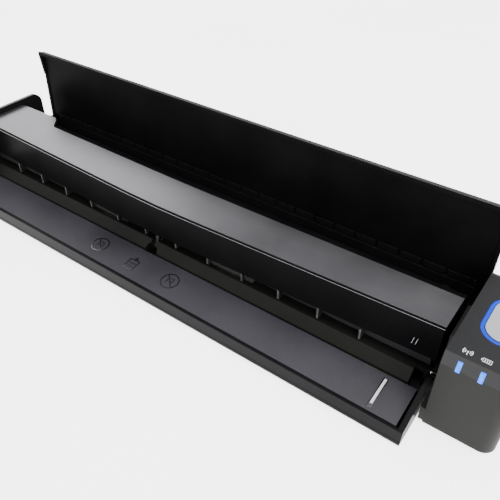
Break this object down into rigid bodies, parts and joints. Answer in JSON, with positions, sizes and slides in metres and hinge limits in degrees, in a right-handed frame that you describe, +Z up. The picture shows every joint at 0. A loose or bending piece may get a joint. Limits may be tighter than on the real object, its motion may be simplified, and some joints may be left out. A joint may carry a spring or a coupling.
{
  "type": "sheet fed document scanner",
  "caption": "Slim portable sheet fed document scanner, open for use: folded down feeding guide, silver top cover, raised output guide and a control block with a scan button at the right end.",
  "frame": {"origin": "on the desk, under the middle of the closed scanner's length and depth", "axes": "+X along the paper width towards the control block, +Y from the feeding side to the rear, +Z up"},
  "size_m": [0.273, 0.0687, 0.0568],
  "materials": {
    "housing_black": "fine matt texture",
    "dark_plastic": "satin",
    "gloss_black": "high gloss",
    "satin_black": "satin",
    "block_grey": "fine matt texture",
    "block_top_grey": "fine matt texture",
    "blue_ring": "translucent gloss",
    "button_silver": "satin metallic",
    "lamp_lens": "clear gloss",
    "circuit_board": "solder resist gloss",
    "tinned_steel": "tinned",
    "battery_wrap": "shrink film",
    "motor_steel": "plated",
    "pin_steel": "ground bright",
    "bush_brass": "sintered satin",
    "platen_white": "smooth matt",
    "foot_rubber": "matt",
    "panel_silver": "satin brushed, dark silver",
    "sensor_glass": "polished",
    "flex_film": "smooth film",
    "plate_charcoal": "fine matt texture"
  },
  "bodies": {
    "base": {"bottom_cover": "housing_black", "lower_frame": "housing_black", "left_end_cap": "gloss_black", "control_housing": "block_grey", "control_top": "block_top_grey", "button_ring": "blue_ring", "light_pipes": "lamp_lens", "button_board": "circuit_board", "tact_switch": "dark_plastic", "main_board": "circuit_board", "interface_board": "circuit_board", "usb_socket": "tinned_steel", "slide_switch": "dark_plastic", "setup_switch": "dark_plastic", "battery_pack": "battery_wrap", "wireless_module": "tinned_steel", "drive_motor": "motor_steel", "gear_plate": "tinned_steel", "idler_stud": "pin_steel", "roller_bushes": "bush_brass", "platen": "platen_white", "rubber_feet": "foot_rubber", "bottom_screws": "pin_steel", "cover_pins": "pin_steel", "door_pins": "pin_steel", "lever_pin": "pin_steel", "sensor_board": "circuit_board"},
    "top_cover": {"top_panel": "panel_silver", "upper_frame": "gloss_black", "upper_guide": "dark_plastic", "image_sensor": "dark_plastic", "sensor_glass": "sensor_glass", "sensor_springs": "pin_steel", "pinch_springs": "pin_steel", "frame_screws": "pin_steel", "sensor_ribbon": "flex_film"},
    "front_pinch": {"front_pinch_shaft": "pin_steel", "front_pinch_rollers": "platen_white"},
    "rear_pinch": {"rear_pinch_shaft": "pin_steel", "rear_pinch_rollers": "platen_white"},
    "feed_drive": {"feed_shaft": "pin_steel", "feed_rollers": "foot_rubber", "feed_gear": "platen_white"},
    "eject_drive": {"eject_shaft": "pin_steel", "eject_rollers": "foot_rubber", "eject_gear": "platen_white"},
    "idler": {"idler_gear": "platen_white"},
    "motor_rotor": {"motor_shaft": "pin_steel", "motor_pinion": "platen_white"},
    "output_guide": {"output_guide": "gloss_black", "guide_liner": "satin_black"},
    "feeding_guide": {"feeding_guide": "satin_black", "feeding_plate": "plate_charcoal", "edge_mark": "platen_white"},
    "scan_button": {"scan_button": "button_silver"},
    "wifi_switch": {"wifi_switch": "platen_white"},
    "setup_button": {"setup_button": "platen_white"},
    "sensor_lever": {"sensor_lever": "dark_plastic"}
  },
  "joints": [
    {"name": "output_guide_hinge", "type": "hinge", "parent": "base", "child": "output_guide", "pos_m": [0, 0.014, 0.02], "axis": [-1, 0, 0], "range_deg": [-93, 0]},
    {"name": "top_cover_hinge", "type": "hinge", "parent": "base", "child": "top_cover", "pos_m": [0, 0.014, 0.02], "axis": [-1, 0, 0], "range_deg": [0, 30]},
    {"name": "feeding_guide_hinge", "type": "hinge", "parent": "base", "child": "feeding_guide", "pos_m": [0, -0.0148, 0.0095], "axis": [1, 0, 0], "range_deg": [-90, 0]},
    {"name": "feed_spin", "type": "hinge", "parent": "base", "child": "feed_drive", "pos_m": [0, -0.0084, 0.009], "axis": [1, 0, 0], "continuous": true},
    {"name": "eject_spin", "type": "hinge", "parent": "base", "child": "eject_drive", "pos_m": [0, 0.0086, 0.009], "axis": [1, 0, 0], "continuous": true},
    {"name": "idler_spin", "type": "hinge", "parent": "base", "child": "idler", "pos_m": [0, 0.0001, 0.01427], "axis": [1, 0, 0], "continuous": true},
    {"name": "motor_spin", "type": "hinge", "parent": "base", "child": "motor_rotor", "pos_m": [0, 0.0001, 0.02177], "axis": [1, 0, 0], "continuous": true},
    {"name": "front_pinch_spin", "type": "hinge", "parent": "top_cover", "child": "front_pinch", "pos_m": [0, -0.0084, 0.0163], "axis": [1, 0, 0], "continuous": true},
    {"name": "rear_pinch_spin", "type": "hinge", "parent": "top_cover", "child": "rear_pinch", "pos_m": [0, 0.0086, 0.0163], "axis": [1, 0, 0], "continuous": true},
    {"name": "scan_button_press", "type": "slide", "parent": "base", "child": "scan_button", "axis": [0, 0, -1], "range_m": [0, 0.0005], "stiffness_N_per_m": 300, "springref_m": -0.001},
    {"name": "setup_button_press", "type": "slide", "parent": "base", "child": "setup_button", "axis": [0, -1, 0], "range_m": [0, 0.0004], "stiffness_N_per_m": 200, "springref_m": -0.0005},
    {"name": "wifi_switch_slide", "type": "slide", "parent": "base", "child": "wifi_switch", "axis": [1, 0, 0], "range_m": [0, 0.0025]},
    {"name": "sensor_lever_swing", "type": "hinge", "parent": "base", "child": "sensor_lever", "pos_m": [0, -0.0132, 0.0086], "axis": [-1, 0, 0], "range_deg": [0, 28], "stiffness_Nm_per_rad": 0.0001, "springref_deg": -17.19}
  ],
  "couplings": [
    {"joint": "eject_spin", "follows": "feed_spin", "ratio": 1},
    {"joint": "idler_spin", "follows": "feed_spin", "ratio": -1},
    {"joint": "motor_spin", "follows": "feed_spin", "ratio": 2}
  ]
}
